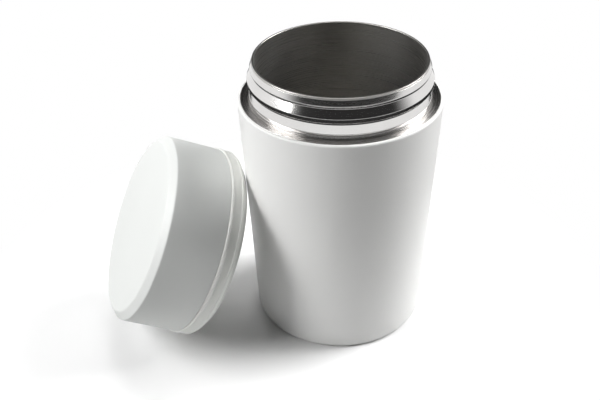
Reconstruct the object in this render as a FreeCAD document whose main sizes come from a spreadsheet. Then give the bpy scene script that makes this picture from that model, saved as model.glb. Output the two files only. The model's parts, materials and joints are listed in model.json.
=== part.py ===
import FreeCAD, Part
import math
import os
import Sketcher

# A double-walled steel food jar, its screw lid taken off and leaning against its side.
# Millimetres, +Z up. The origin is the centre of the jar's foot, on the surface that it stands on.
# Every sub-part is a body turned about its own Z axis. The lid's bodies are drawn with the open end
# of the lid at height 0 and its top upwards, and their Placement leans them on the jar.

os.makedirs("parts", exist_ok=True)
doc = FreeCAD.newDocument("food_jar")

# Driving sizes. Everything else is worked out from them, from the vessel outwards.
SIZES = {
    # Inner vessel, rolled over the neck at the rim.
    "vessel_bore_radius": 44.6,
    "vessel_wall": 0.6,
    "vessel_floor_height": 9.0,
    "vessel_corner_radius": 18.0,
    "rim_thickness": 0.8,
    "rim_overhang": 0.5,
    "rim_round": 0.3,
    # Coated outer shell: a straight taper with a turned-in lip above and a turned-in flange below.
    "vacuum_gap": 2.4,
    "shell_wall": 0.8,
    "shell_lip_width": 1.7,
    "shell_lip_depth": 1.6,
    "shell_lip_round": 1.2,
    "foot_flange": 6.0,
    "foot_round": 3.0,
    # Bare steel ledge and neck, from the ledge up. Beads stand out from the neck's root, and the
    # groove is cut into it.
    "ledge_height": 136.8,
    "ledge_width": 5.5,
    "ledge_thickness": 0.8,
    "neck_wall": 1.75,
    "root_height": 1.2,
    "lower_bead_out": 1.3,
    "lower_bead_flank": 1.2,
    "lower_bead_crest": 0.8,
    "lower_bead_slope": 4.4,
    "waist_out": 0.3,
    "waist_height": 0.8,
    "upper_bead_out": 1.6,
    "upper_bead_flank": 0.8,
    "upper_bead_crest": 2.2,
    "upper_bead_slope": 4.4,
    "groove_depth": 0.6,
    "groove_height": 0.8,
    "lip_flank": 0.8,
    "lip_height": 2.85,
    # What lies sealed between the walls, and what closes the base.
    "foil_thickness": 0.3,
    "foil_foot_gap": 2.4,
    "foil_neck_gap": 6.0,
    "base_thickness": 0.8,
    "port_radius": 4.0,
    "getter_offset": 22.0,
    "getter_radius": 5.0,
    "getter_thickness": 1.6,
    "clip_wall": 0.5,
    # Lid, from its open end up.
    "skirt_wall": 1.0,
    "skirt_length": 4.3,
    "flange_reach": 1.0,
    "flange_thickness": 1.2,
    "collar_proud": 0.8,
    "collar_height": 6.5,
    "collar_round": 0.8,
    "cover_wall": 2.0,
    "cover_height": 33.7,
    "cover_draft": 0.6,
    "cover_bevel_width": 4.1,
    "cover_bevel_height": 3.4,
    "cover_round": 1.0,
    "roof_thickness": 1.6,
    "lug_depth": 1.2,
    "lug_height": 1.6,
    "lug_rise": 4.0,
    "lug_angle": 50.0,
    "gasket_width": 3.6,
    "gasket_thickness": 2.6,
    "gasket_squeeze": 0.5,
    "gasket_round": 0.7,
    "disc_thickness": 0.8,
    # Fits: between welded or nested steel, between seated plastic pieces, and the free thread.
    "weld_gap": 0.05,
    "seat_gap": 0.1,
    "thread_gap": 0.4,
    "gasket_gap": 0.7,
    "landing_gap": 0.2,
    # How the lid leans: its axis's rise and heading, and where round the jar its open end stands.
    "lean_rise_angle": 26.4,
    "lean_heading": 195.75,
    "lean_bearing": 189.25,
    "lean_gap": 0.3,
    "floor_gap": 0.05,
}
LUG_COUNT = 3
LEAN_STEPS = 360
EDGE_TOLERANCE = 0.01

sheet = doc.addObject("Spreadsheet::Sheet", "Sheet")
for row, (name, value) in enumerate(SIZES.items(), start=1):
    sheet.set(f"A{row}", name)
    sheet.set(f"B{row}", str(value))
    sheet.setAlias(f"B{row}", name)
doc.recompute()


class Size:
    """A length worked out from the sheet: its value now, and the expression that FreeCAD keeps."""

    def __init__(self, value, text):
        self.value = value
        self.text = text

    def combine(self, sign, other):
        if not isinstance(other, Size):
            other = Size(other, str(other))
        total = {"+": self.value + other.value, "-": self.value - other.value}[sign]
        return Size(total, f"({self.text} {sign} {other.text})")

    def __add__(self, other):
        return self.combine("+", other)

    def __sub__(self, other):
        return self.combine("-", other)

    def share(self, part, whole):
        """This length times part over whole, all of them lengths."""
        value = self.value * part.value / whole.value
        return Size(value, f"({self.text} * {part.text} / {whole.text})")


def cell(name):
    return Size(SIZES[name], f"Sheet.{name}")


AXIS = Size(0.0, "0")

# Heights and radii that several sub-parts share.
ledge = cell("ledge_height")
shell_wall = cell("shell_wall")
weld_gap = cell("weld_gap")
seat_gap = cell("seat_gap")
vessel_bore = cell("vessel_bore_radius")
vessel_outer = vessel_bore + cell("vessel_wall")
neck_bore = vessel_outer + weld_gap
neck_radius = neck_bore + cell("neck_wall")
upper_bead_radius = neck_radius + cell("upper_bead_out")
ledge_radius = neck_radius + cell("ledge_width")
shell_top = ledge_radius + cell("shell_lip_width")
shell_foot = vessel_outer + cell("vacuum_gap") + shell_wall
root_top = ledge + cell("root_height")
lower_bead_foot = root_top + cell("lower_bead_flank")
lower_bead_top = lower_bead_foot + cell("lower_bead_crest")
waist_foot = lower_bead_top + cell("lower_bead_slope")
waist_top = waist_foot + cell("waist_height")
upper_bead_foot = waist_top + cell("upper_bead_flank")
upper_bead_top = upper_bead_foot + cell("upper_bead_crest")
groove_foot = upper_bead_top + cell("upper_bead_slope")
groove_top = groove_foot + cell("groove_height")
lip_foot = groove_top + cell("lip_flank")
neck_top = lip_foot + cell("lip_height")
rim_under = neck_top + weld_gap
rim_top = rim_under + cell("rim_thickness")
flange_bore = shell_foot - cell("foot_flange")
base_under = shell_wall + weld_gap
base_top = base_under + cell("base_thickness")
skirt_bore = upper_bead_radius + cell("thread_gap")
skirt_radius = skirt_bore + cell("skirt_wall")
collar_foot = cell("skirt_length")
collar_top = collar_foot + cell("collar_height")
cover_wall = cell("cover_wall")
flange_radius = skirt_radius + cell("flange_reach")
cover_edge = flange_radius + seat_gap + cover_wall
cover_shoulder = cover_edge - cell("cover_draft")
cover_crown = cover_shoulder - cell("cover_bevel_width")
collar_radius = cover_edge + cell("collar_proud")
lid_top = collar_top + cell("cover_height")
lid_shoulder = lid_top - cell("cover_bevel_height")
gasket_foot = rim_top - ledge - cell("landing_gap") - cell("gasket_squeeze")
roof_under = gasket_foot + cell("gasket_thickness")
roof_top = roof_under + cell("roof_thickness")
gasket_radius = skirt_bore - cell("lug_depth") - cell("gasket_gap")
gasket_bore = gasket_radius - cell("gasket_width")


def new_body(label):
    body = doc.addObject("PartDesign::Body", label)
    body.Label = label
    return body


def profile(body, name, points):
    """A closed outline on the body's XZ plane. Each point is a radius and a height."""
    sketch = body.newObject("Sketcher::SketchObject", name)
    planes = {feature.Role: feature for feature in body.Origin.OriginFeatures}
    sketch.AttachmentSupport = [(planes["XZ_Plane"], "")]
    sketch.MapMode = "FlatFace"
    corners = [FreeCAD.Vector(radius.value, height.value, 0) for radius, height in points]
    count = len(corners)
    for index, corner in enumerate(corners):
        line = Part.LineSegment(corner, corners[(index + 1) % count])
        sketch.addGeometry(line, False)
    for index in range(count):
        joined = (index + 1) % count
        sketch.addConstraint(Sketcher.Constraint("Coincident", index, 2, joined, 1))
    for index, (radius, height) in enumerate(points):
        for kind, size in (("DistanceX", radius), ("DistanceY", height)):
            constraint = Sketcher.Constraint(kind, index, 1, size.value)
            number = sketch.addConstraint(constraint)
            sketch.renameConstraint(number, f"{kind}_{index}")
            sketch.setExpression(f"Constraints.{kind}_{index}", size.text)
    return sketch


def turn(body, name, points, angle="360"):
    """A solid turned from an outline about the body's Z axis."""
    sketch = profile(body, f"{name}_outline", points)
    solid = body.newObject("PartDesign::Revolution", name)
    solid.Profile = sketch
    solid.ReferenceAxis = (sketch, ["V_Axis"])
    solid.setExpression("Angle", angle)
    solid.Midplane = angle != "360"
    body.Tip = solid
    doc.recompute()
    return solid


def rounded(body, name, base, size, places):
    """A fillet on the round edges that lie at the given radii and heights."""
    names = []
    for index, edge in enumerate(base.Shape.Edges, start=1):
        if not isinstance(edge.Curve, Part.Circle):
            continue
        for radius, height in places:
            off_radius = abs(edge.Curve.Radius - radius.value)
            off_height = abs(edge.Curve.Center.z - height.value)
            if max(off_radius, off_height) < EDGE_TOLERANCE:
                names.append(f"Edge{index}")
    if len(names) < len(places):
        raise RuntimeError(f"{body.Label}: an edge to round is missing")
    fillet = body.newObject("PartDesign::Fillet", name)
    fillet.Base = (base, names)
    fillet.setExpression("Radius", size.text)
    body.Tip = fillet
    doc.recompute()
    return fillet


def make_outer_shell():
    body = new_body("outer_shell")
    taper = shell_top - shell_foot
    lip_under = ledge - cell("shell_lip_depth")
    lip_wall = shell_top - taper.share(cell("shell_lip_depth"), ledge) - shell_wall
    lip_bore = ledge_radius + weld_gap
    wall = turn(body, "wall", [
        (flange_bore, AXIS),
        (shell_foot, AXIS),
        (shell_top, ledge),
        (lip_bore, ledge),
        (lip_bore, lip_under),
        (lip_wall, lip_under),
        (shell_foot - shell_wall, shell_wall),
        (flange_bore, shell_wall),
    ])
    foot = rounded(body, "foot_edge", wall, cell("foot_round"), [(shell_foot, AXIS)])
    inner = cell("foot_round") - shell_wall
    inside = rounded(body, "foot_inside", foot, inner, [(shell_foot - shell_wall, shell_wall)])
    rounded(body, "lip_edge", inside, cell("shell_lip_round"), [(shell_top, ledge)])
    return body


def make_neck_ring():
    body = new_body("neck_ring")
    ledge_under = ledge - cell("ledge_thickness")
    lower_bead = neck_radius + cell("lower_bead_out")
    waist = neck_radius + cell("waist_out")
    groove = neck_radius - cell("groove_depth")
    turn(body, "neck", [
        (neck_bore, ledge_under),
        (ledge_radius, ledge_under),
        (ledge_radius, ledge),
        (neck_radius, ledge),
        (neck_radius, root_top),
        (lower_bead, lower_bead_foot),
        (lower_bead, lower_bead_top),
        (waist, waist_foot),
        (waist, waist_top),
        (upper_bead_radius, upper_bead_foot),
        (upper_bead_radius, upper_bead_top),
        (groove, groove_foot),
        (groove, groove_top),
        (neck_radius, lip_foot),
        (neck_radius, neck_top),
        (neck_bore, neck_top),
    ])
    return body


def make_inner_vessel():
    body = new_body("inner_vessel")
    floor_under = cell("vessel_floor_height")
    floor_top = floor_under + cell("vessel_wall")
    rim_radius = neck_radius - cell("rim_overhang")
    bowl = turn(body, "bowl", [
        (AXIS, floor_under),
        (vessel_outer, floor_under),
        (vessel_outer, rim_under),
        (rim_radius, rim_under),
        (rim_radius, rim_top),
        (vessel_bore, rim_top),
        (vessel_bore, floor_top),
        (AXIS, floor_top),
    ])
    corner = cell("vessel_corner_radius")
    inside = rounded(body, "bowl_inside", bowl, corner, [(vessel_bore, floor_top)])
    outside = rounded(body, "bowl_outside", inside, corner + cell("vessel_wall"),
                      [(vessel_outer, floor_under)])
    rounded(body, "rim_edge", outside, cell("rim_round"),
            [(rim_radius, rim_top), (vessel_bore, rim_top)])
    return body


def make_ring(label, bore, radius, foot, top):
    body = new_body(label)
    ring = turn(body, "ring", [(bore, foot), (radius, foot), (radius, top), (bore, top)])
    return body, ring


def make_disc(label, radius, foot, top):
    body = new_body(label)
    disc = turn(body, "disc", [(AXIS, foot), (radius, foot), (radius, top), (AXIS, top)])
    return body, disc


def make_copper_foil():
    bore = vessel_outer + seat_gap
    corner_top = cell("vessel_floor_height") + cell("vessel_corner_radius") + cell("vessel_wall")
    foot = corner_top + cell("foil_foot_gap")
    top = ledge - cell("ledge_thickness") - cell("foil_neck_gap")
    body, _ = make_ring("copper_foil", bore, bore + cell("foil_thickness"), foot, top)
    return body


def make_outer_base():
    radius = shell_foot - cell("foot_round")
    body, _ = make_ring("outer_base", cell("port_radius"), radius, base_under, base_top)
    return body


def make_port_plug():
    body, _ = make_disc("port_plug", cell("port_radius") - weld_gap, base_under, base_top)
    return body


def make_base_cap():
    """The disc that hides the port, flush with the foot."""
    body, _ = make_disc("base_cap", flange_bore - seat_gap, AXIS, base_under - weld_gap)
    return body


def make_getter():
    """The pellet that keeps the vacuum, lying in its clip beside the port."""
    foot = base_top + weld_gap + cell("clip_wall") + weld_gap
    body, _ = make_disc("getter", cell("getter_radius"), foot, foot + cell("getter_thickness"))
    body.setExpression("Placement.Base.x", "Sheet.getter_offset")
    return body


def make_getter_clip():
    body = new_body("getter_clip")
    foot = base_top + weld_gap
    floor = foot + cell("clip_wall")
    bore = cell("getter_radius") + weld_gap
    top = floor + cell("getter_thickness")
    turn(body, "cup", [
        (AXIS, foot),
        (bore + cell("clip_wall"), foot),
        (bore + cell("clip_wall"), top),
        (bore, top),
        (bore, floor),
        (AXIS, floor),
    ])
    body.setExpression("Placement.Base.x", "Sheet.getter_offset")
    return body


def make_lid_cover():
    body = new_body("lid_cover")
    shell = turn(body, "shell", [
        (AXIS, lid_top),
        (cover_crown, lid_top),
        (cover_shoulder, lid_shoulder),
        (cover_edge, collar_top),
        (cover_edge - cover_wall, collar_top),
        (cover_shoulder - cover_wall, lid_shoulder),
        (cover_crown - cover_wall, lid_top - cover_wall),
        (AXIS, lid_top - cover_wall),
    ])
    rounded(body, "bevel_edges", shell, cell("cover_round"),
            [(cover_crown, lid_top), (cover_shoulder, lid_shoulder)])
    return body


def make_lid_liner():
    """The threaded cup inside the lid: a skirt, a flange that carries the cover, and a roof."""
    body = new_body("lid_liner")
    flange_top = collar_top + cell("flange_thickness")
    cup = turn(body, "cup", [
        (skirt_bore, AXIS),
        (skirt_radius, AXIS),
        (skirt_radius, collar_top),
        (flange_radius, collar_top),
        (flange_radius, flange_top),
        (skirt_radius, flange_top),
        (skirt_radius, roof_top),
        (AXIS, roof_top),
        (AXIS, roof_under),
        (skirt_bore, roof_under),
    ])
    lug_foot = cell("lug_rise")
    lug_top = lug_foot + cell("lug_height")
    lug_root = skirt_bore + seat_gap
    lug_crest = skirt_bore - cell("lug_depth")
    lug = turn(body, "lug", [
        (lug_root, lug_foot - cell("lug_depth")),
        (lug_root, lug_top + cell("lug_depth")),
        (lug_crest, lug_top),
        (lug_crest, lug_foot),
    ], "Sheet.lug_angle")
    lugs = body.newObject("PartDesign::PolarPattern", "lugs")
    lugs.Originals = [lug]
    lugs.Axis = (cup.Profile[0], ["V_Axis"])
    lugs.Angle = 360
    lugs.Occurrences = LUG_COUNT
    body.Tip = lugs
    return body


def make_lid_collar():
    bore = skirt_radius + seat_gap
    top = collar_top - seat_gap
    body, ring = make_ring("lid_collar", bore, collar_radius, collar_foot, top)
    rounded(body, "collar_edges", ring, cell("collar_round"),
            [(collar_radius, collar_foot), (collar_radius, top)])
    return body


def make_lid_foam():
    body = new_body("lid_foam")
    foot = roof_top + seat_gap
    side = cover_shoulder - cover_wall - seat_gap
    crown = cover_crown - cover_wall - seat_gap
    top = lid_top - cover_wall - seat_gap
    turn(body, "foam", [
        (AXIS, foot),
        (side, foot),
        (side, lid_shoulder - seat_gap),
        (crown, top),
        (AXIS, top),
    ])
    return body


def make_lid_disc():
    top = roof_under - seat_gap
    foot = top - cell("disc_thickness")
    body, _ = make_disc("lid_disc", gasket_bore - seat_gap, foot, top)
    return body


def make_lid_gasket():
    top = roof_under - seat_gap
    body, ring = make_ring("lid_gasket", gasket_bore, gasket_radius, gasket_foot, top)
    rounded(body, "gasket_edges", ring, cell("gasket_round"),
            [(gasket_bore, gasket_foot), (gasket_radius, gasket_foot)])
    return body


def leaning_placement():
    """Where the lid stands: its lowest edge on the floor and its open end a gap from the jar."""
    rise = math.radians(SIZES["lean_rise_angle"])
    heading = math.radians(SIZES["lean_heading"])
    bearing = math.radians(SIZES["lean_bearing"])
    turned = FreeCAD.Rotation(FreeCAD.Vector(0, 0, 1), math.degrees(heading))
    tipped = FreeCAD.Rotation(FreeCAD.Vector(0, 1, 0), 90 - math.degrees(rise))
    rotation = turned.multiply(tipped)
    rings = [(skirt_radius, AXIS), (collar_radius, collar_foot), (collar_radius, collar_top),
             (cover_edge, collar_top), (cover_shoulder, lid_shoulder)]
    offsets = []
    for radius, height in rings:
        for step in range(LEAN_STEPS):
            angle = math.tau * step / LEAN_STEPS
            across = radius.value * math.cos(angle)
            along = radius.value * math.sin(angle)
            offsets.append(rotation.multVec(FreeCAD.Vector(across, along, height.value)))
    lift = SIZES["floor_gap"] - min(offset.z for offset in offsets)
    outward = FreeCAD.Vector(math.cos(bearing), math.sin(bearing), 0)
    taper = shell_top.value - shell_foot.value
    reach = 0.0
    for offset in offsets:
        level = min(offset.z + lift, ledge.value)
        wall = shell_foot.value + taper * level / ledge.value
        clear = wall + SIZES["lean_gap"]
        inward = offset.dot(outward)
        beside = offset.x ** 2 + offset.y ** 2 - inward ** 2
        if beside < clear ** 2:
            reach = max(reach, math.sqrt(clear ** 2 - beside) - inward)
    place = outward * reach + FreeCAD.Vector(0, 0, lift)
    return FreeCAD.Placement(place, rotation)


jar_bodies = [
    make_outer_shell(),
    make_neck_ring(),
    make_inner_vessel(),
    make_copper_foil(),
    make_outer_base(),
    make_port_plug(),
    make_base_cap(),
    make_getter(),
    make_getter_clip(),
]
lid_bodies = [
    make_lid_cover(),
    make_lid_liner(),
    make_lid_collar(),
    make_lid_foam(),
    make_lid_disc(),
    make_lid_gasket(),
]
lean = leaning_placement()
for lid_body in lid_bodies:
    lid_body.Placement = lean
print("lid placement", lean)

doc.recompute()
for body in jar_bodies + lid_bodies:
    for item in [body] + list(body.Group):
        if "Invalid" in item.State or "Error" in item.State:
            raise RuntimeError(f"{body.Label}: {item.Name} did not compute")
    if body.Shape.isNull() or not body.Shape.isValid():
        raise RuntimeError(f"{body.Label}: the shape isn't valid")
    body.Shape.exportStep(f"parts/{body.Label}.step")
    print(body.Label, "volume", round(body.Shape.Volume, 1), "mm3")
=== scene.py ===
import bmesh
import bpy
import json
import math
from mathutils import Matrix, Vector


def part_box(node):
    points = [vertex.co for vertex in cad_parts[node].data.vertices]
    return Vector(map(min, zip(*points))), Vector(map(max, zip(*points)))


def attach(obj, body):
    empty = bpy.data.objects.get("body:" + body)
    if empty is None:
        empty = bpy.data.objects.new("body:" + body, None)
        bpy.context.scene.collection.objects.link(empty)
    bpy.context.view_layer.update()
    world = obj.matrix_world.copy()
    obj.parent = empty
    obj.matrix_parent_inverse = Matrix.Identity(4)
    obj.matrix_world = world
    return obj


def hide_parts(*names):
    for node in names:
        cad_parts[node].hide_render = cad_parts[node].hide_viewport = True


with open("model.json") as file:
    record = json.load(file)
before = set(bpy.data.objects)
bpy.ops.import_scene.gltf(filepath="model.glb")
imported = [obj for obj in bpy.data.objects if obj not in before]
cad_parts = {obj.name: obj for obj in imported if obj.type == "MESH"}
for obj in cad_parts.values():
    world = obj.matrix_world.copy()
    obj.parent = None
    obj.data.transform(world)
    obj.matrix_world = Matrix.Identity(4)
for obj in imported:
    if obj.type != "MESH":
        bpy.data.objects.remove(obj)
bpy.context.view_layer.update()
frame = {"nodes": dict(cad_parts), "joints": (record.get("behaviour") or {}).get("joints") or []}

# The dressed food jar. Outlines are written in millimetres and turned about the axis of the jar or
# of the lid; every mesh is made in metres.

MM = 0.001
TURN_STEPS = 192
ARC_STEPS = 8
MERGE_DISTANCE = 1e-7

# A long run of an outline gets a pair of close points, this far from its two ends.
SUPPORT_REACH = 0.35
LONG_RUN = 4 * SUPPORT_REACH


def top_of(node):
    """The height of a node's top, in millimetres."""
    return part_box(node)[1].z / MM


def foot_of(node):
    """The height of a node's foot, in millimetres."""
    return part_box(node)[0].z / MM


def radius_of(node):
    """Half of a node's width, in millimetres."""
    low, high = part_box(node)
    return (high.x - low.x) / 2 / MM


# Jar heights and radii, read from the frame where a node gives them.
LEDGE = top_of("outer_shell")
RIM = top_of("inner_vessel")
LEDGE_RADIUS = radius_of("neck_ring")
LEDGE_THICKNESS = 0.8
SHELL_TOP_RADIUS = 54.2
SHELL_FOOT_RADIUS = 48.4
SHELL_WALL = 0.8
SHELL_LIP_DEPTH = 1.6
SHELL_LIP_INSET = 0.1
FOOT_BORE = 42.4
VESSEL_BORE = 44.6
VESSEL_WALL = 0.6
VESSEL_FLOOR = foot_of("inner_vessel")
VESSEL_CORNER = 18.0
ROLL_RADIUS = 45.9
ROLL_DEPTH = 0.86
RIM_TOP_RADIUS = 45.65
WELD_GAP = 0.05

# The neck's outer side from its foot to its lip: radius, height above the ledge and rounding.
NECK_SIDE = (
    (47.6, 0.02, 0.4),
    (47.0, 1.2, 0.6),
    (48.3, 2.4, 0.5),
    (48.3, 3.2, 0.8),
    (47.3, 7.6, 0.6),
    (47.3, 8.4, 0.3),
    (48.6, 9.2, 0.4),
    (48.6, 11.4, 0.6),
    (46.4, 15.8, 0.5),
    (46.4, 16.5, 0.3),
    (47.0, 17.1, 0.45),
)
NECK_TOP_RADIUS = 45.95
NECK_TOP_DROP = 0.9

# The stamped step of the disc that closes the jar's foot.
CAP_STEP_RADIUS = 29.0
CAP_STEP_SLOPE = 0.8
CAP_STEP_RISE = 0.3

# Lid sizes, with heights above its open end, as in the source.
SKIRT_BORE = 49.0
SKIRT_RADIUS = 50.0
COLLAR_FOOT = 4.3
COLLAR_TOP = 10.8
COLLAR_RADIUS = 53.9
COVER_EDGE_RADIUS = 53.1
COVER_SHOULDER_RADIUS = 52.5
COVER_CROWN_RADIUS = 48.4
COVER_WALL = 2.0
LID_TOP = 44.5
LID_SHOULDER = 41.1
FLANGE_THICKNESS = 1.2
ROOF_UNDER = 23.0
ROOF_TOP = 24.6
SEAT_GAP = 0.1

# The collar's outer side from its foot up: depth inside its widest radius, height and rounding.
COLLAR_SIDE = (
    (1.1, 2.4, 0.5),
    (0.9, 3.7, 0.15),
    (0.0, 3.9, 0.35),
    (0.5, 4.8, 0.3),
    (0.5, 8.9, 0.4),
    (0.0, 9.5, 0.3),
    (0.0, 10.7, 0.75),
)

# The seal, and one of its two lips: distance from the seal's edge, height above its foot, rounding.
GASKET_FOOT = 20.4
GASKET_RADIUS = 47.1
GASKET_BORE = 43.5
GASKET_LIP = (
    (0.0, 0.9, 0.3),
    (0.5, 0.0, 0.2),
    (1.1, 0.0, 0.2),
    (1.5, 0.7, 0.2),
)

# The lid's steel plate: how far its face and its raised ring lie under the roof, and where the
# ring starts and ends.
PLATE_FACE = 0.9
PLATE_RING = 0.5
RING_START = 33.0
RING_FULL = 34.0
RING_EDGE = 2.0
RING_END = 1.2

# Thread lugs inside the skirt. The flank and the least depth at the ends are shares of the depth,
# and the fade is a share of the length.
LUG_COUNT = 3
LUG_ANGLE = 50.0
LUG_DEPTH = 1.2
LUG_FLANK = 0.8
LUG_ROOT = 0.1
LUG_FOOT = 4.0
LUG_TOP = 5.6
LUG_STEPS = 40
LUG_FADE = 0.15
LUG_LEAST = 0.2


def lid_frame():
    """The lid's own frame, turned as in the source: its axis is the gasket's joint, reversed."""
    pull = next(joint for joint in frame["joints"] if joint["name"] == "gasket_pull")
    axis = -Vector(pull["axis"]).normalized()
    low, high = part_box("lid_collar")
    middle_height = (COLLAR_FOOT + COLLAR_TOP - SEAT_GAP) / 2 * MM
    origin = (low + high) / 2 - axis * middle_height
    heading = Matrix.Rotation(math.atan2(axis.y, axis.x), 4, "Z")
    tilt = Matrix.Rotation(math.acos(axis.z), 4, "Y")
    return Matrix.Translation(origin) @ heading @ tilt


LID = lid_frame()


def rounded_outline(points):
    """A closed outline in millimetres. Each point is radius, height and the radius of its corner."""
    places = [Vector((radius, height)) for radius, height, _ in points]
    count = len(places)
    path = []
    for index, corner in enumerate(places):
        rounding = points[index][2]
        back = places[index - 1] - corner
        ahead = places[(index + 1) % count] - corner
        if rounding == 0:
            path.append([corner])
            continue
        half = back.angle(ahead) / 2
        reach = rounding / math.tan(half)
        start = corner + back.normalized() * reach
        end = corner + ahead.normalized() * reach
        centre = corner + (back.normalized() + ahead.normalized()).normalized() * (
            rounding / math.sin(half))
        first = start - centre
        sweep = first.angle_signed(end - centre)
        arc = []
        for step in range(ARC_STEPS + 1):
            turned = first.copy()
            turned.rotate(Matrix.Rotation(-sweep * step / ARC_STEPS, 2))
            arc.append(centre + turned)
        path.append(arc)
    return path


def with_supports(path):
    """The outline's points, with a pair of close points on each long run so that it shades flat."""
    flat = []
    count = len(path)
    for index, corner in enumerate(path):
        flat.extend(corner)
        run_start = corner[-1]
        run_end = path[(index + 1) % count][0]
        run = run_end - run_start
        if run.length > LONG_RUN:
            near = run.normalized() * SUPPORT_REACH
            flat.append(run_start + near)
            flat.append(run_end - near)
    return flat


def turned_piece(name, points, finish, body, node, place=None):
    """A piece turned from a closed outline about the Z axis, with a UV map round and along it."""
    path = with_supports(rounded_outline(points))
    rows = []
    vertices = []
    for point in path:
        radius = max(point.x, 0.0) * MM
        row = []
        for step in range(TURN_STEPS):
            angle = math.tau * step / TURN_STEPS + math.pi / 2
            row.append(len(vertices))
            vertices.append((radius * math.cos(angle), radius * math.sin(angle), point.y * MM))
        rows.append(row)
    lengths = [0.0]
    for index, point in enumerate(path):
        run = (path[(index + 1) % len(path)] - point).length * MM
        lengths.append(lengths[-1] + run)
    faces = []
    corners = []
    for index, row in enumerate(rows):
        if path[index].x <= 0 and path[(index + 1) % len(path)].x <= 0:
            continue
        upper = rows[(index + 1) % len(rows)]
        for step in range(TURN_STEPS):
            after = (step + 1) % TURN_STEPS
            faces.append((row[step], row[after], upper[after], upper[step]))
            start = step / TURN_STEPS
            end = (step + 1) / TURN_STEPS
            corners.extend([(start, lengths[index]), (end, lengths[index]),
                            (end, lengths[index + 1]), (start, lengths[index + 1])])
    mesh = bpy.data.meshes.new(name)
    mesh.from_pydata(vertices, [], faces)
    layer = mesh.uv_layers.new(name="UVMap")
    for loop, corner in zip(layer.data, corners):
        loop.uv = corner
    if place is not None:
        mesh.transform(place)
    add_piece(name, mesh, finish, body, node)


def add_piece(name, mesh, finish, body, node):
    """A rigid piece that rides on a body and stands for a node. Its finish is a material and slot;
    the slot is not used.
    """
    material, slot = finish
    work = bmesh.new()
    work.from_mesh(mesh)
    bmesh.ops.remove_doubles(work, verts=work.verts, dist=MERGE_DISTANCE)
    bmesh.ops.recalc_face_normals(work, faces=work.faces)
    work.to_mesh(mesh)
    work.free()
    mesh.shade_smooth()
    mesh.materials.append(material)
    piece = bpy.data.objects.new(name, mesh)
    bpy.context.scene.collection.objects.link(piece)
    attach(piece, body)
    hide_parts(node)


def new_material(name):
    """A new material and its shader."""
    material = bpy.data.materials.new(name)
    material.use_nodes = True
    return material, material.node_tree.nodes["Principled BSDF"]


def ring_coordinates(material, around, along):
    """A vector that runs round a turned piece with no seam: around cycles, and along per metre."""
    nodes = material.node_tree.nodes
    links = material.node_tree.links
    uv = nodes.new("ShaderNodeUVMap")
    uv.uv_map = "UVMap"
    split = nodes.new("ShaderNodeSeparateXYZ")
    links.new(uv.outputs["UV"], split.inputs["Vector"])
    turn = nodes.new("ShaderNodeMath")
    turn.operation = "MULTIPLY"
    turn.inputs[1].default_value = math.tau
    links.new(split.outputs["X"], turn.inputs[0])
    join = nodes.new("ShaderNodeCombineXYZ")
    for operation, axis in (("COSINE", "X"), ("SINE", "Y")):
        wave = nodes.new("ShaderNodeMath")
        wave.operation = operation
        links.new(turn.outputs[0], wave.inputs[0])
        scale = nodes.new("ShaderNodeMath")
        scale.operation = "MULTIPLY"
        scale.inputs[1].default_value = around
        links.new(wave.outputs[0], scale.inputs[0])
        links.new(scale.outputs[0], join.inputs[axis])
    height = nodes.new("ShaderNodeMath")
    height.operation = "MULTIPLY"
    height.inputs[1].default_value = along
    links.new(split.outputs["Y"], height.inputs[0])
    links.new(height.outputs[0], join.inputs["Z"])
    return join.outputs["Vector"]


def object_coordinates(material):
    """A vector in metres that is fixed to the piece."""
    coordinates = material.node_tree.nodes.new("ShaderNodeTexCoord")
    return coordinates.outputs["Object"]


def noise(material, vector, scale, detail):
    """Soft noise from 0 to 1."""
    node = material.node_tree.nodes.new("ShaderNodeTexNoise")
    node.inputs["Scale"].default_value = scale
    node.inputs["Detail"].default_value = detail
    material.node_tree.links.new(vector, node.inputs["Vector"])
    return node.outputs["Fac"]


def spread(material, value, low, high):
    """A value from 0 to 1 spread between two limits."""
    node = material.node_tree.nodes.new("ShaderNodeMapRange")
    node.inputs["To Min"].default_value = low
    node.inputs["To Max"].default_value = high
    material.node_tree.links.new(value, node.inputs["Value"])
    return node.outputs["Result"]


def tint(material, value, dark, light):
    """A colour between two shades, by a value from 0 to 1. A shade is three numbers or a socket."""
    node = material.node_tree.nodes.new("ShaderNodeMix")
    node.data_type = "RGBA"
    for shade, name in ((dark, "A"), (light, "B")):
        if isinstance(shade, tuple):
            node.inputs[name].default_value = (*shade, 1)
        else:
            material.node_tree.links.new(shade, node.inputs[name])
    material.node_tree.links.new(value, node.inputs["Factor"])
    return node.outputs["Result"]


def bump(material, height, strength, distance, normal=None):
    """A fine relief, over another one where a normal is given."""
    node = material.node_tree.nodes.new("ShaderNodeBump")
    node.inputs["Strength"].default_value = strength
    node.inputs["Distance"].default_value = distance
    material.node_tree.links.new(height, node.inputs["Height"])
    if normal is not None:
        material.node_tree.links.new(normal, node.inputs["Normal"])
    return node.outputs["Normal"]


# Highlights stretch across the tool's rings, a quarter turn from the surface's own direction.
QUARTER_TURN = 0.25


def white_coat():
    """Satin powder coat: an even white with a very fine, soft orange peel."""
    material, shader = new_material("white_coat")
    links = material.node_tree.links
    place = object_coordinates(material)
    cloud = noise(material, place, scale=18.0, detail=3.0)
    peel = noise(material, place, scale=900.0, detail=2.0)
    grain = noise(material, place, scale=4200.0, detail=1.0)
    colour = tint(material, cloud, dark=(0.80, 0.80, 0.785), light=(0.83, 0.83, 0.82))
    links.new(colour, shader.inputs["Base Color"])
    links.new(spread(material, peel, low=0.38, high=0.48), shader.inputs["Roughness"])
    fine = bump(material, grain, strength=0.04, distance=0.0002)
    coarse = bump(material, peel, strength=0.05, distance=0.0006, normal=fine)
    links.new(coarse, shader.inputs["Normal"])
    shader.inputs["Specular IOR Level"].default_value = 0.4
    return material


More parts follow.
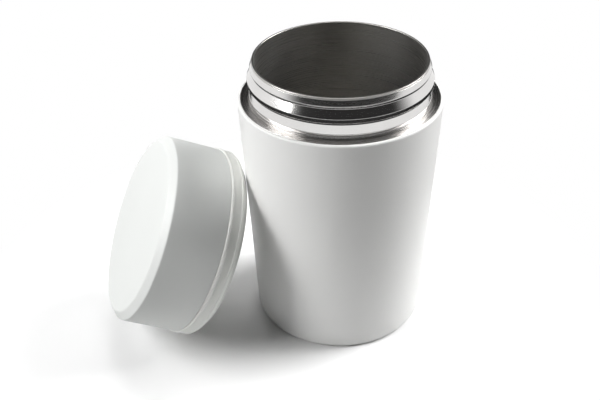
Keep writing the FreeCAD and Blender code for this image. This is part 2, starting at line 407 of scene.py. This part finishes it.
def steel(name, dark, light, rough, lines, line_strength, stretch):
    """Turned stainless steel: fine rings from the tool, stretched highlights, a cloudy polish."""
    material, shader = new_material(name)
    links = material.node_tree.links
    rings = ring_coordinates(material, around=0.6, along=lines)
    brushed = noise(material, rings, scale=1.0, detail=6.0)
    cloud = noise(material, object_coordinates(material), scale=60.0, detail=3.0)
    around = material.node_tree.nodes.new("ShaderNodeTangent")
    around.direction_type = "UV_MAP"
    around.uv_map = "UVMap"
    links.new(around.outputs["Tangent"], shader.inputs["Tangent"])
    links.new(tint(material, cloud, dark, light), shader.inputs["Base Color"])
    links.new(spread(material, brushed, *rough), shader.inputs["Roughness"])
    relief = bump(material, brushed, line_strength, distance=0.0001)
    links.new(relief, shader.inputs["Normal"])
    shader.inputs["Metallic"].default_value = 1.0
    shader.inputs["Anisotropic"].default_value = stretch
    shader.inputs["Anisotropic Rotation"].default_value = QUARTER_TURN
    return material


def plain_metal(name, dark, light, rough, grain, strength):
    """Unturned metal that stays out of sight: cloudy, with a grain or a crinkle."""
    material, shader = new_material(name)
    links = material.node_tree.links
    place = object_coordinates(material)
    cloud = noise(material, place, scale=45.0, detail=4.0)
    surface = noise(material, place, scale=grain, detail=3.0)
    links.new(tint(material, cloud, dark, light), shader.inputs["Base Color"])
    links.new(spread(material, surface, *rough), shader.inputs["Roughness"])
    links.new(bump(material, surface, strength, distance=0.0004), shader.inputs["Normal"])
    shader.inputs["Metallic"].default_value = 1.0
    return material


def plastic(name, dark, light, rough, strength):
    """Moulded plastic: a fine spark-eroded texture and slightly uneven gloss."""
    material, shader = new_material(name)
    links = material.node_tree.links
    place = object_coordinates(material)
    cloud = noise(material, place, scale=25.0, detail=3.0)
    grain = noise(material, place, scale=2600.0, detail=2.0)
    links.new(tint(material, cloud, dark, light), shader.inputs["Base Color"])
    links.new(spread(material, grain, *rough), shader.inputs["Roughness"])
    links.new(bump(material, grain, strength, distance=0.0003), shader.inputs["Normal"])
    return material


def translucent(material, share, scale):
    """Lets light through a plastic, the same for all three colours."""
    shader = material.node_tree.nodes["Principled BSDF"]
    shader.inputs["Subsurface Weight"].default_value = share
    shader.inputs["Subsurface Radius"].default_value = (1.0, 1.0, 1.0)
    shader.inputs["Subsurface Scale"].default_value = scale
    return material


# What each piece is finished with: its material and the name of its slot.
WHITE_COAT = (white_coat(), "white_coat")
NECK_STEEL = (
    steel("neck_steel", dark=(0.70, 0.69, 0.68), light=(0.77, 0.76, 0.75), rough=(0.10, 0.15),
          lines=9000.0, line_strength=0.04, stretch=0.0),
    "polished_steel")
# The ledge is the same stainless steel as the neck, one ring with it, but its colour is painted much
# darker: painted shade on top of what it reflects.
LEDGE_STEEL_PAINTED_DARK = (
    steel("ledge_steel_painted_dark", dark=(0.36, 0.35, 0.34), light=(0.42, 0.41, 0.40), rough=(0.22, 0.32),
          lines=7000.0, line_strength=0.10, stretch=0.8),
    "polished_steel")
# The bowl's steel is painted a little darker than bare stainless: painted shade for the dim inside
# wall.
VESSEL_STEEL = (
    steel("vessel_steel_satin", dark=(0.47, 0.46, 0.445), light=(0.54, 0.53, 0.51),
          rough=(0.24, 0.32), lines=6000.0, line_strength=0.05, stretch=0.5),
    "vessel_steel")
BASE_STEEL = (
    steel("base_steel_brushed", dark=(0.50, 0.50, 0.50), light=(0.58, 0.58, 0.575),
          rough=(0.24, 0.36), lines=5000.0, line_strength=0.12, stretch=0.7),
    "base_steel")
DISC_STEEL = (
    steel("lid_steel_brushed", dark=(0.56, 0.56, 0.55), light=(0.64, 0.64, 0.63),
          rough=(0.22, 0.32), lines=6000.0, line_strength=0.10, stretch=0.7),
    "lid_steel")
# The cover's white is set greyer than the jar's coat: painted shade for the lid's darker side.
LID_WHITE = (
    plastic("lid_white_plastic", dark=(0.725, 0.74, 0.724), light=(0.76, 0.776, 0.76),
            rough=(0.42, 0.52), strength=0.05),
    "lid_white")
COLLAR_PLASTIC = (
    translucent(plastic("collar_translucent", dark=(0.82, 0.83, 0.79), light=(0.87, 0.88, 0.84),
                        rough=(0.30, 0.40), strength=0.03), share=0.5, scale=0.005),
    "collar_plastic")
LINER_PLASTIC = (
    plastic("liner_white_plastic", dark=(0.70, 0.705, 0.68), light=(0.75, 0.755, 0.73),
            rough=(0.38, 0.5), strength=0.05),
    "liner_plastic")
GASKET_RUBBER = (
    translucent(plastic("gasket_milky", dark=(0.76, 0.76, 0.73), light=(0.82, 0.82, 0.79),
                        rough=(0.45, 0.6), strength=0.05), share=0.4, scale=0.003),
    "gasket_silicone")

# Nodes that keep their own solids are sealed inside the walls, so only their materials change.
KEPT_NODES = {
    "copper_foil": plain_metal("foil_crinkled", dark=(0.62, 0.30, 0.18), light=(0.80, 0.44, 0.28),
                               rough=(0.22, 0.42), grain=260.0, strength=0.5),
    "outer_base": plain_metal("base_plate_rolled", dark=(0.48, 0.48, 0.47),
                              light=(0.56, 0.56, 0.55), rough=(0.30, 0.45), grain=900.0,
                              strength=0.15),
    "port_plug": plain_metal("port_solder", dark=(0.46, 0.46, 0.47), light=(0.60, 0.60, 0.61),
                             rough=(0.35, 0.60), grain=500.0, strength=0.4),
    "getter": plain_metal("getter_sintered", dark=(0.16, 0.16, 0.17), light=(0.26, 0.26, 0.27),
                          rough=(0.70, 0.90), grain=3000.0, strength=0.6),
    "getter_clip": plain_metal("clip_spring_steel", dark=(0.46, 0.46, 0.46),
                               light=(0.56, 0.56, 0.56), rough=(0.25, 0.40), grain=1200.0,
                               strength=0.15),
    "lid_foam": plastic("foam_white", dark=(0.78, 0.78, 0.75), light=(0.88, 0.88, 0.86),
                        rough=(0.8, 0.95), strength=0.6),
}


def make_shell():
    """The coated body: a straight taper, with a turned-in lip above and flange below."""
    lip = LEDGE_RADIUS + WELD_GAP
    lip_foot = LEDGE - SHELL_LIP_DEPTH
    turned_piece("outer_shell_coat", [
        (FOOT_BORE, 0.0, 0.2),
        (SHELL_FOOT_RADIUS, 0.0, 3.0),
        (SHELL_TOP_RADIUS, LEDGE, 1.2),
        (lip, LEDGE, 0.1),
        (lip, lip_foot, 0),
        (SHELL_TOP_RADIUS - SHELL_WALL - SHELL_LIP_INSET, lip_foot, 0),
        (SHELL_FOOT_RADIUS - SHELL_WALL, SHELL_WALL, 2.2),
        (FOOT_BORE, SHELL_WALL, 0.1),
    ], WHITE_COAT, "jar", "outer_shell")


def make_neck():
    """The rolled neck and the bare ledge, which are one ring."""
    bore = VESSEL_BORE + VESSEL_WALL + WELD_GAP
    side = [(radius, LEDGE + height, rounding) for radius, height, rounding in NECK_SIDE]
    foot = side[0][1]
    lip_top = RIM - NECK_TOP_DROP
    turned_piece("neck_thread", [
        (bore, foot, 0),
        *side,
        (NECK_TOP_RADIUS, lip_top, 0.05),
        (bore, lip_top, 0),
    ], NECK_STEEL, "jar", "neck_ring")
    under = LEDGE - LEDGE_THICKNESS
    turned_piece("neck_ledge", [
        (bore, under, 0),
        (LEDGE_RADIUS, under, 0),
        (LEDGE_RADIUS, LEDGE, 0.2),
        (bore, LEDGE, 0),
    ], LEDGE_STEEL_PAINTED_DARK, "jar", "neck_ring")


def make_vessel():
    """The steel bowl, its thin wall rolled outwards over the top of the neck."""
    outer = VESSEL_BORE + VESSEL_WALL
    roll_foot = RIM - ROLL_DEPTH
    turned_piece("inner_vessel_bowl", [
        (0.0, VESSEL_FLOOR, 0),
        (outer, VESSEL_FLOOR, VESSEL_CORNER + VESSEL_WALL),
        (outer, roll_foot, 0.05),
        (ROLL_RADIUS, roll_foot, 0.1),
        (RIM_TOP_RADIUS, RIM, 0.16),
        (VESSEL_BORE, RIM, 0.2),
        (VESSEL_BORE, VESSEL_FLOOR + VESSEL_WALL, VESSEL_CORNER),
        (0.0, VESSEL_FLOOR + VESSEL_WALL, 0),
    ], VESSEL_STEEL, "jar", "inner_vessel")


def make_base_cap():
    """The disc that closes the foot, with a shallow stamped step."""
    radius = radius_of("base_cap")
    top = top_of("base_cap")
    turned_piece("base_cap_disc", [
        (0.0, CAP_STEP_RISE, 0),
        (CAP_STEP_RADIUS, CAP_STEP_RISE, 0.4),
        (CAP_STEP_RADIUS + CAP_STEP_SLOPE, 0.0, 0.4),
        (radius, 0.0, 0.25),
        (radius, top, 0.1),
        (0.0, top, 0),
    ], BASE_STEEL, "jar", "base_cap")


def make_lid_cover():
    """The white cover, with a bevel between its flat top and its side."""
    turned_piece("lid_cover_shell", [
        (0.0, LID_TOP, 0),
        (COVER_CROWN_RADIUS, LID_TOP, 2.4),
        (COVER_SHOULDER_RADIUS, LID_SHOULDER, 1.4),
        (COVER_EDGE_RADIUS, COLLAR_TOP, 0.3),
        (COVER_EDGE_RADIUS - COVER_WALL, COLLAR_TOP, 0.2),
        (COVER_SHOULDER_RADIUS - COVER_WALL, LID_SHOULDER, 0.5),
        (COVER_CROWN_RADIUS - COVER_WALL, LID_TOP - COVER_WALL, 0.5),
        (0.0, LID_TOP - COVER_WALL, 0),
    ], LID_WHITE, "lid", "lid_cover", LID)


def make_lid_collar():
    """The band round the lid's edge: two proud lips, a flat face between them and a stepped foot."""
    side = [(COLLAR_RADIUS - depth, height, rounding) for depth, height, rounding in COLLAR_SIDE]
    bore = SKIRT_RADIUS + SEAT_GAP
    turned_piece("lid_collar_band", [
        (bore, side[0][1], 0.1),
        *side,
        (bore, side[-1][1], 0.1),
    ], COLLAR_PLASTIC, "lid", "lid_collar", LID)


def make_lid_liner():
    """The threaded cup inside the lid: its skirt, the flange under the cover and its roof."""
    flange = COVER_EDGE_RADIUS - COVER_WALL - SEAT_GAP
    flange_top = COLLAR_TOP + FLANGE_THICKNESS
    turned_piece("lid_liner_cup", [
        (SKIRT_BORE, 0.0, 0.4),
        (SKIRT_RADIUS, 0.0, 0.4),
        (SKIRT_RADIUS, COLLAR_TOP, 0),
        (flange, COLLAR_TOP, 0.1),
        (flange, flange_top, 0.1),
        (SKIRT_RADIUS, flange_top, 0),
        (SKIRT_RADIUS, ROOF_TOP, 0.5),
        (0.0, ROOF_TOP, 0),
        (0.0, ROOF_UNDER, 0),
        (SKIRT_BORE, ROOF_UNDER, 0.3),
    ], LINER_PLASTIC, "lid", "lid_liner", LID)


def make_lugs():
    """Three short thread lugs inside the skirt, which fade out at both ends."""
    root = SKIRT_BORE + LUG_ROOT
    flank = LUG_DEPTH * LUG_FLANK
    vertices = []
    faces = []
    for lug in range(LUG_COUNT):
        rows = []
        for step in range(LUG_STEPS + 1):
            share = step / LUG_STEPS
            rise = min(1.0, share / LUG_FADE, (1 - share) / LUG_FADE)
            crest = SKIRT_BORE - LUG_DEPTH * max(rise, LUG_LEAST)
            path = rounded_outline([
                (root, LUG_FOOT - flank, 0),
                (root, LUG_TOP + flank, 0),
                (crest, LUG_TOP, 0.1),
                (crest, LUG_FOOT, 0.1),
            ])
            angle = math.tau * lug / LUG_COUNT + math.radians(LUG_ANGLE) * (share - 0.5)
            row = []
            for corner in path:
                for point in corner:
                    row.append(len(vertices))
                    vertices.append((point.x * MM * math.cos(angle),
                                     point.x * MM * math.sin(angle), point.y * MM))
            rows.append(row)
        faces.append(tuple(rows[0]))
        faces.append(tuple(reversed(rows[-1])))
        for row, ahead in zip(rows, rows[1:]):
            for index in range(len(row)):
                after = (index + 1) % len(row)
                faces.append((row[index], row[after], ahead[after], ahead[index]))
    mesh = bpy.data.meshes.new("lid_thread_lugs")
    mesh.from_pydata(vertices, [], faces)
    mesh.transform(LID)
    add_piece("lid_thread_lugs", mesh, LINER_PLASTIC, "lid", "lid_liner")


def make_gasket():
    """The soft seal, with two thin lips that press on the rim."""
    inner = [(GASKET_BORE + inset, GASKET_FOOT + rise, rounding)
             for inset, rise, rounding in GASKET_LIP]
    outer = [(GASKET_RADIUS - inset, GASKET_FOOT + rise, rounding)
             for inset, rise, rounding in reversed(GASKET_LIP)]
    turned_piece("lid_gasket_ring", [
        *inner,
        *outer,
        (GASKET_RADIUS, ROOF_UNDER - SEAT_GAP, 0.2),
        (GASKET_BORE, ROOF_UNDER - SEAT_GAP, 0.2),
    ], GASKET_RUBBER, "gasket", "lid_gasket", LID)


def make_lid_disc():
    """The steel plate under the lid's roof, with a ring stamped into it."""
    edge = GASKET_BORE - SEAT_GAP
    top = ROOF_UNDER - SEAT_GAP
    face = ROOF_UNDER - PLATE_FACE
    ring = ROOF_UNDER - PLATE_RING
    turned_piece("lid_disc_plate", [
        (0.0, top, 0),
        (0.0, face, 0),
        (RING_START, face, 0.5),
        (RING_FULL, ring, 0.3),
        (edge - RING_EDGE, ring, 0.3),
        (edge - RING_END, face, 0.2),
        (edge, face, 0.2),
        (edge, top, 0.1),
    ], DISC_STEEL, "lid", "lid_disc", LID)


def finish_kept_nodes():
    """Gives the solids that stay as they are their own materials."""
    for node, material in KEPT_NODES.items():
        for slot in frame["nodes"][node].material_slots:
            slot.material = material


make_shell()
make_neck()
make_vessel()
make_base_cap()
make_lid_cover()
make_lid_collar()
make_lid_liner()
make_lugs()
make_gasket()
make_lid_disc()
finish_kept_nodes()

# Studio: a pale floor, soft lamps, dark cards and the photograph's camera.

# The floor: its size, its shade where it is seen, and its shades for the light that it throws on
# the object, near the object and far from it.
FLOOR_SIZE = 8.0
FLOOR_SHADE = 0.96
BOUNCE_NEAR = 0.70
BOUNCE_FAR = 0.40
FLOOR_ROUGHNESS = 0.9

# The world's own light on the object.
WORLD_LIGHT = 0.03

# The object's shadow lies round this point, and fades to plain white between two distances.
FLOOR_CENTRE = (-0.03, -0.01, 0.0)
SHADOW_NEAR = 0.11
SHADOW_FAR = 0.20

# Lamps: name, azimuth and elevation in degrees, distance, width and power.
LAMPS = (
    ("lamp_left", -77, 35, 2.2, 1.35, 54),
    ("lamp_right", 111, 35, 2.2, 1.35, 67),
    ("lamp_back", 180, 62, 2.2, 1.0, 14),
)
LAMP_AIM = Vector((-0.03, 0, 0.07))

# Cards: name, the radius and height of both edges, and the degrees at which it starts, ends and
# over which its ends fade.
CARDS = (
    ("card_low", (0.14, 0.002), (0.42, 0.002), -180, 180, 0),
    ("card_high", (3.0, 0.26), (3.0, 3.8), -80, 100, 36),
    ("card_back", (3.2, 0.45), (3.2, 4.9), 140, 220, 12),
)
CARD_SHADE = 0.03
CARD_STEPS = 72

# The camera as fitted to the photograph: millimetres, degrees and metres.
SENSOR_WIDTH = 36.0
LENS = 52.14
CAMERA_PITCH = 34.60
CAMERA_YAW = -3.13
CAMERA_ROLL = -1.28
CAMERA_PLACE = (0, -0.4083, 0.3506)
CAMERA_CLIP = 0.01


def seen_directly(nodes, links):
    """1 for a ray from the camera, a reflection or glass, and 0 for one that spreads light."""
    path = nodes.new("ShaderNodeLightPath")
    seen = path.outputs["Is Camera Ray"]
    for ray in ("Is Glossy Ray", "Is Transmission Ray"):
        either = nodes.new("ShaderNodeMath")
        either.operation = "MAXIMUM"
        links.new(seen, either.inputs[0])
        links.new(path.outputs[ray], either.inputs[1])
        seen = either.outputs[0]
    return seen


def far_from_object(nodes, links):
    """0 on the floor near the object, where its shadow lies, and 1 further away."""
    place = nodes.new("ShaderNodeTexCoord")
    offset = nodes.new("ShaderNodeVectorMath")
    offset.operation = "DISTANCE"
    offset.inputs[1].default_value = FLOOR_CENTRE
    links.new(place.outputs["Object"], offset.inputs[0])
    fade = nodes.new("ShaderNodeMapRange")
    fade.interpolation_type = "SMOOTHSTEP"
    fade.inputs["From Min"].default_value = SHADOW_NEAR
    fade.inputs["From Max"].default_value = SHADOW_FAR
    links.new(offset.outputs["Value"], fade.inputs["Value"])
    return fade.outputs["Result"]


def floor_material():
    """White where the camera or the steel looks at it. For light on the object it is greyer."""
    material, shader = new_material("floor_white")
    nodes = material.node_tree.nodes
    links = material.node_tree.links
    seen = seen_directly(nodes, links)
    far = far_from_object(nodes, links)
    bounce = tint(material, far, (BOUNCE_NEAR,) * 3, (BOUNCE_FAR,) * 3)
    links.new(tint(material, seen, bounce, (FLOOR_SHADE,) * 3), shader.inputs["Base Color"])
    shader.inputs["Roughness"].default_value = FLOOR_ROUGHNESS
    shader.inputs["Specular IOR Level"].default_value = 0.0
    both = nodes.new("ShaderNodeMath")
    both.operation = "MULTIPLY"
    links.new(far, both.inputs[0])
    links.new(seen, both.inputs[1])
    white = nodes.new("ShaderNodeEmission")
    mixed = nodes.new("ShaderNodeMixShader")
    links.new(both.outputs[0], mixed.inputs["Fac"])
    links.new(shader.outputs["BSDF"], mixed.inputs[1])
    links.new(white.outputs["Emission"], mixed.inputs[2])
    links.new(mixed.outputs["Shader"], nodes["Material Output"].inputs["Surface"])
    return material


def make_floor():
    """A flat square floor."""
    half = FLOOR_SIZE / 2
    mesh = bpy.data.meshes.new("floor")
    mesh.from_pydata([(-half, -half, 0), (half, -half, 0), (half, half, 0), (-half, half, 0)],
                     [], [(0, 1, 2, 3)])
    mesh.materials.append(floor_material())
    floor = bpy.data.objects.new("floor", mesh)
    bpy.context.scene.collection.objects.link(floor)


def make_world():
    """A dim even light on the object, and plain white where the camera or the steel looks at it."""
    world = bpy.data.worlds.new("studio")
    world.use_nodes = True
    nodes = world.node_tree.nodes
    links = world.node_tree.links
    background = nodes["Background"]
    shown = nodes.new("ShaderNodeMix")
    shown.inputs["A"].default_value = WORLD_LIGHT
    shown.inputs["B"].default_value = 1.0
    links.new(seen_directly(nodes, links), shown.inputs["Factor"])
    links.new(shown.outputs["Result"], background.inputs["Strength"])
    background.inputs["Color"].default_value = (1, 1, 1, 1)
    bpy.context.scene.world = world


def card_material():
    """A studio card whose brightness is written along it, so that its ends can fade to white."""
    material = bpy.data.materials.new("studio_card")
    material.use_nodes = True
    nodes = material.node_tree.nodes
    links = material.node_tree.links
    nodes.remove(nodes["Principled BSDF"])
    shade = nodes.new("ShaderNodeVertexColor")
    shade.layer_name = "shade"
    glow = nodes.new("ShaderNodeEmission")
    links.new(shade.outputs["Color"], glow.inputs["Color"])
    links.new(glow.outputs["Emission"], nodes["Material Output"].inputs["Surface"])
    return material


def make_card(name, inner, outer, start, end, fade, material):
    """A dark card bent round the jar, which only reflections see. Degrees are as for a lamp."""
    vertices = []
    shades = []
    for radius, height in (inner, outer):
        for step in range(CARD_STEPS + 1):
            angle = start + (end - start) * step / CARD_STEPS
            turn = math.radians(angle)
            vertices.append((radius * math.sin(turn), -radius * math.cos(turn), height))
            inside = min(angle - start, end - angle)
            share = min(1.0, inside / fade) if fade else 1.0
            smooth = share * share * (3 - 2 * share)
            shades.append(1.0 + (CARD_SHADE - 1.0) * smooth)
    row = CARD_STEPS + 1
    faces = [(step, step + 1, row + step + 1, row + step) for step in range(CARD_STEPS)]
    mesh = bpy.data.meshes.new(name)
    mesh.from_pydata(vertices, [], faces)
    layer = mesh.color_attributes.new("shade", "FLOAT_COLOR", "POINT")
    for item, shade in zip(layer.data, shades):
        item.color = (shade, shade, shade, 1)
    mesh.materials.append(material)
    card = bpy.data.objects.new(name, mesh)
    bpy.context.scene.collection.objects.link(card)
    card.visible_camera = False
    card.visible_diffuse = False
    card.visible_shadow = False
    card.visible_transmission = False


def make_lamp(name, azimuth, elevation, distance, width, power):
    """A square soft lamp that looks at the object. Azimuth 0 is the camera's side, 90 is +X."""
    data = bpy.data.lights.new(name, "AREA")
    data.shape = "SQUARE"
    data.size = width
    data.energy = power
    lamp = bpy.data.objects.new(name, data)
    turn = math.radians(azimuth)
    rise = math.radians(elevation)
    away = Vector((math.sin(turn) * math.cos(rise), -math.cos(turn) * math.cos(rise),
                   math.sin(rise)))
    lamp.location = LAMP_AIM + away * distance
    lamp.rotation_mode = "QUATERNION"
    lamp.rotation_quaternion = away.to_track_quat("Z", "Y")
    bpy.context.scene.collection.objects.link(lamp)


def make_camera():
    """The photograph's camera, from its fitted place, tilt and focal length."""
    data = bpy.data.cameras.new("camera")
    data.sensor_width = SENSOR_WIDTH
    data.lens = LENS
    data.clip_start = CAMERA_CLIP
    camera = bpy.data.objects.new("camera", data)
    pitch = math.radians(CAMERA_PITCH)
    yaw = math.radians(CAMERA_YAW)
    roll = math.radians(CAMERA_ROLL)
    ahead = Vector((math.sin(yaw) * math.cos(pitch), math.cos(yaw) * math.cos(pitch),
                    -math.sin(pitch)))
    right = ahead.cross(Vector((0, 0, 1))).normalized()
    up = right.cross(ahead)
    tilted_right = right * math.cos(roll) + up * math.sin(roll)
    tilted_up = up * math.cos(roll) - right * math.sin(roll)
    axes = Matrix((tilted_right, tilted_up, -ahead)).transposed()
    camera.rotation_mode = "QUATERNION"
    camera.rotation_quaternion = axes.to_quaternion()
    camera.location = CAMERA_PLACE
    bpy.context.scene.collection.objects.link(camera)
    bpy.context.scene.camera = camera


make_floor()
make_world()
for lamp in LAMPS:
    make_lamp(*lamp)
card_look = card_material()
for card in CARDS:
    make_card(*card, card_look)
make_camera()
bpy.context.scene.view_settings.view_transform = "Standard"
